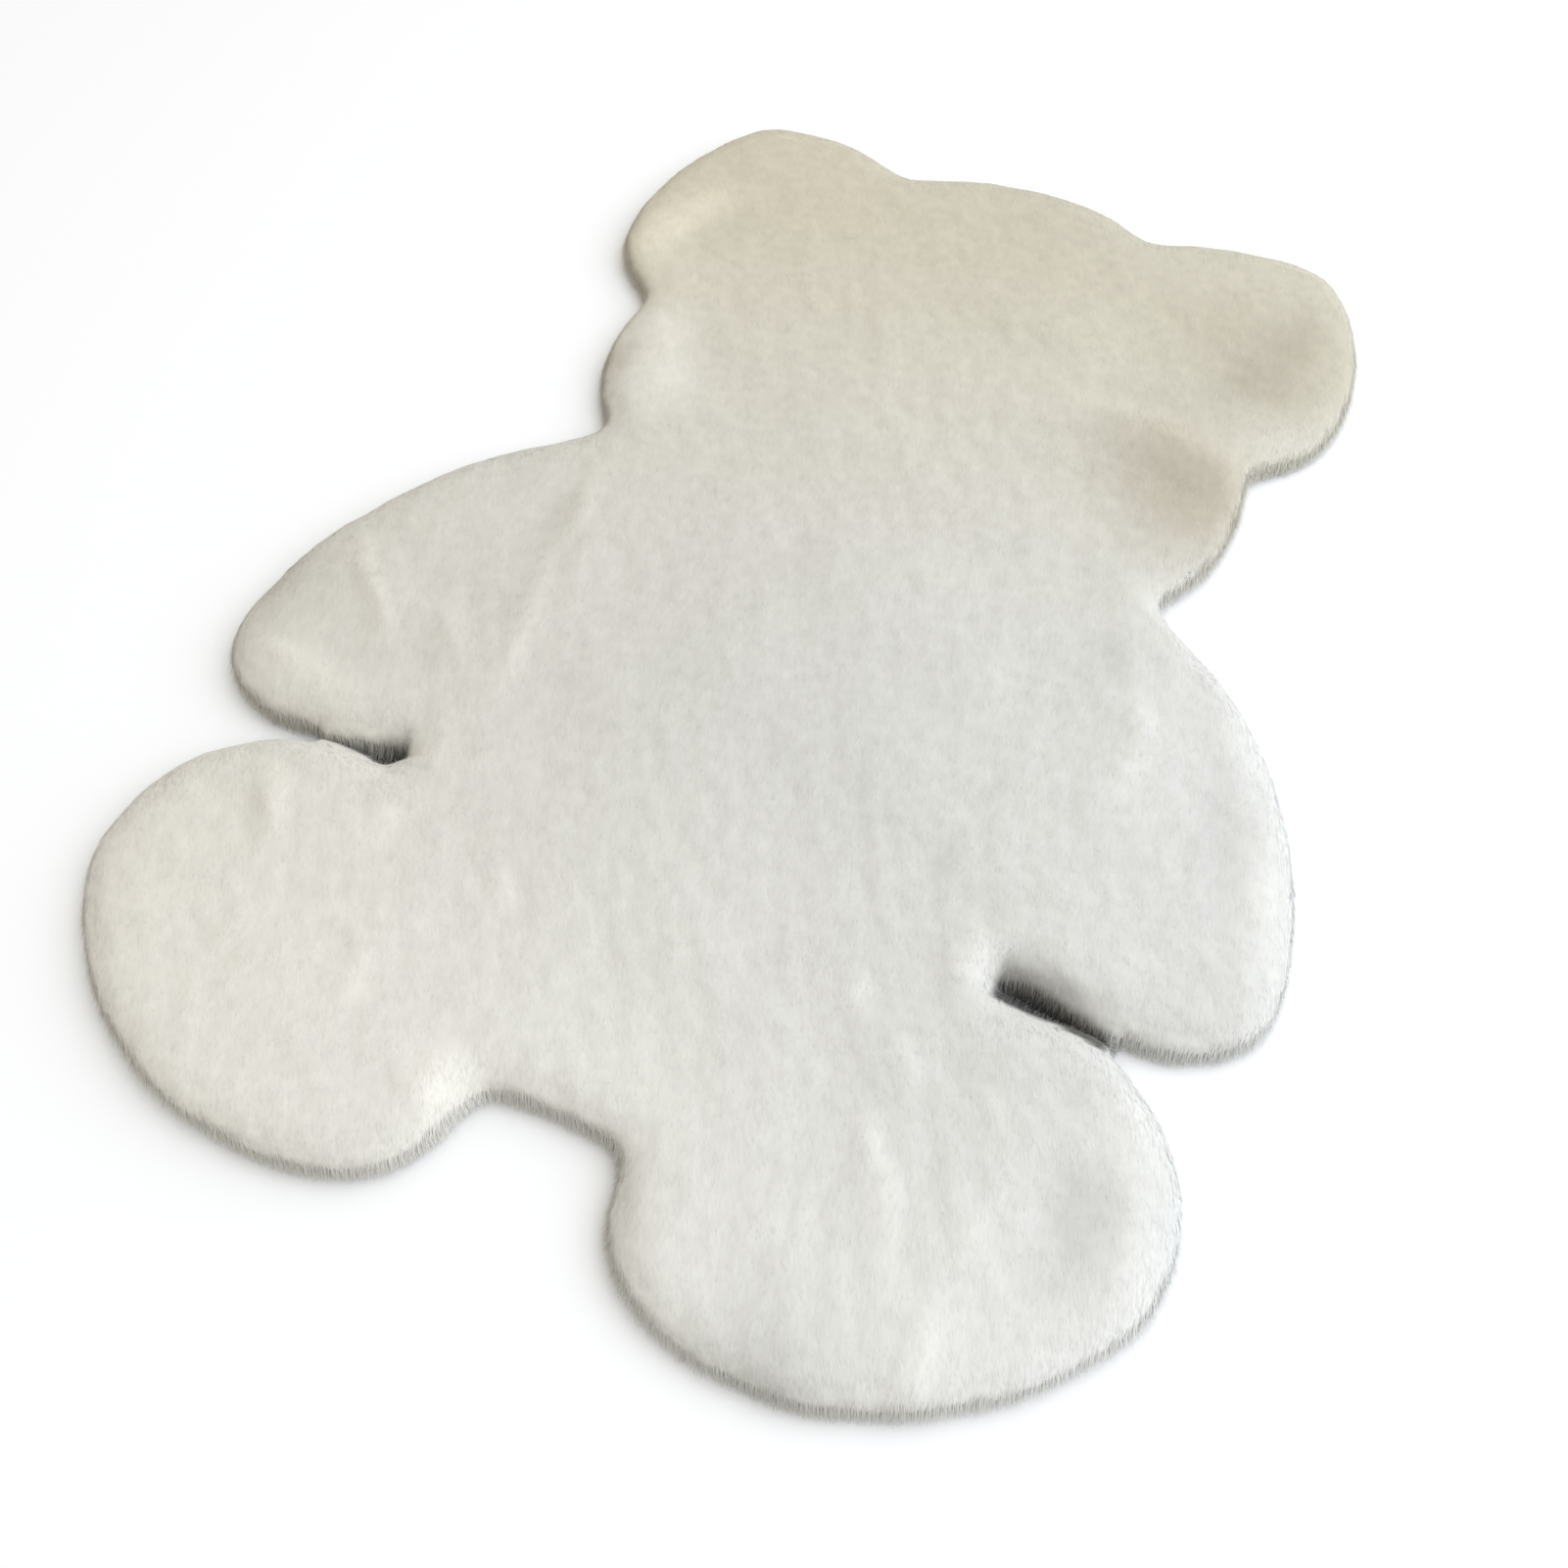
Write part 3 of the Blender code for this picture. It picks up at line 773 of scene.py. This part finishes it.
def plushMaterial(look, pile):
    material = bpy.data.materials.new("polyesterPlush")
    material.use_nodes = True
    tree = material.node_tree
    shader = tree.nodes["Principled BSDF"]
    place = addNode(tree, "ShaderNodeTexCoord").outputs["Object"]
    axes = addNode(tree, "ShaderNodeSeparateXYZ", {0: place}).outputs
    shares = {}
    for name, axis in (("headFrom", "Y"), ("footFrom", "Y"), ("sides", "X")):
        first, last = look[name]
        shares[name] = addNode(tree, "ShaderNodeMapRange",
                               {"Value": axes[axis], "From Min": first, "From Max": last}).outputs[0]
    tint = addNode(tree, "ShaderNodeMix",
                   {0: shares["headFrom"], 6: hexColour(look["body"]), 7: hexColour(look["head"])},
                   data_type="RGBA").outputs[2]
    tint = addNode(tree, "ShaderNodeMix", {0: shares["footFrom"], 6: tint, 7: hexColour(look["foot"])},
                   data_type="RGBA").outputs[2]
    sideTint = addNode(tree, "ShaderNodeMix",
                       {0: shares["sides"], 6: hexColour(look["leftSide"]), 7: hexColour(look["rightSide"])},
                       data_type="RGBA").outputs[2]
    tint = addNode(tree, "ShaderNodeMix", {0: 1.0, 6: tint, 7: sideTint},
                   data_type="RGBA", blend_type="MULTIPLY").outputs[2]
    napPlace = addNode(tree, "ShaderNodeAttribute", attribute_name="napPlace").outputs["Vector"]
    clumps = clumpNoise(tree, napPlace, pile, 2.0)["Fac"]
    low, high = look["mottleNoise"]
    shade = addNode(tree, "ShaderNodeMapRange",
                    {"Value": clumps, "From Min": low, "From Max": high,
                     "To Min": 1 - look["mottle"], "To Max": 1.0}).outputs[0]
    # the brushing's tone together with the painted shade and painted highlight of folds, rims and patches
    brushed = addNode(tree, "ShaderNodeAttribute", attribute_name="brushed").outputs["Vector"]
    colour = addNode(tree, "ShaderNodeVectorMath", {0: tint, 1: brushed},
                     operation="MULTIPLY").outputs[0]
    colour = addNode(tree, "ShaderNodeVectorMath", {0: colour, "Scale": shade},
                     operation="SCALE").outputs[0]
    # painted shade in the slits, mixed in by the stored share
    depth = addNode(tree, "ShaderNodeAttribute", attribute_name="depth").outputs["Fac"]
    colour = addNode(tree, "ShaderNodeMix", {0: depth, 6: colour, 7: hexColour(look["slit"])},
                     data_type="RGBA").outputs[2]
    tree.links.new(colour, shader.inputs["Base Color"])
    bump = addNode(tree, "ShaderNodeBump",
                   {"Height": clumps, "Distance": look["grainHeight"],
                    "Strength": look["grainStrength"]}).outputs[0]
    tree.links.new(bump, shader.inputs["Normal"])
    shader.inputs["Roughness"].default_value = look["roughness"]
    shader.inputs["Specular IOR Level"].default_value = look["gloss"]
    shader.inputs["Sheen Weight"].default_value = look["sheen"]
    shader.inputs["Sheen Roughness"].default_value = look["sheenRoughness"]
    return material


bpy.context.scene.view_settings.view_transform = "Standard"
bpy.context.scene.cycles.diffuse_bounces = 8  # pale pile passes light on many times
makeCamera(viewSettings)
makeLights(roomSettings)
makeFloor(floorSettings)
print("camera, light and floor made")

plush = plushMaterial(plushSettings, pileSettings)
skin = makeSkin(skinSettings)
skin.data.materials.append(plush)
onTop, onRim = layNap(skin, napSettings, pileSettings["rim"]["length"])
layFlat(skin, flatSettings)
print("skin made,", triangleCount(skin.data), "triangles")

tree, sockets = pileTree(plush, pileSettings)
x, y = readVectors(skin.data.vertices, "co")[:, :2].T
isHead = y > pileSettings["headAbove"]
isLeg = y < pileSettings["legsBelow"]
patches = {
    "pileHead": (onTop * isHead, "top"),
    "pileLegs": (onTop * isLeg, "top"),
    "pileLeftSide": (onTop * ~isHead * ~isLeg * (x < 0), "top"),
    "pileRightSide": (onTop * ~isHead * ~isLeg * (x >= 0), "top"),
    "pileRim": (onRim, "rim"),
}
pieces = []
for seed, (name, (cover, kind)) in enumerate(patches.items(), pileSettings["firstSeed"]):
    piece = growPile(skin, tree, sockets, name, cover, pileSettings[kind], seed)
    piece.visible_shadow = kind == "rim"  # the fine pile on top lets light through, without dark flecks
    pieces.append(piece)
    print(name, "grown,", triangleCount(piece.data), "triangles")

for piece in [skin, *pieces]:
    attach(piece, "root")
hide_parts("bear_rug")
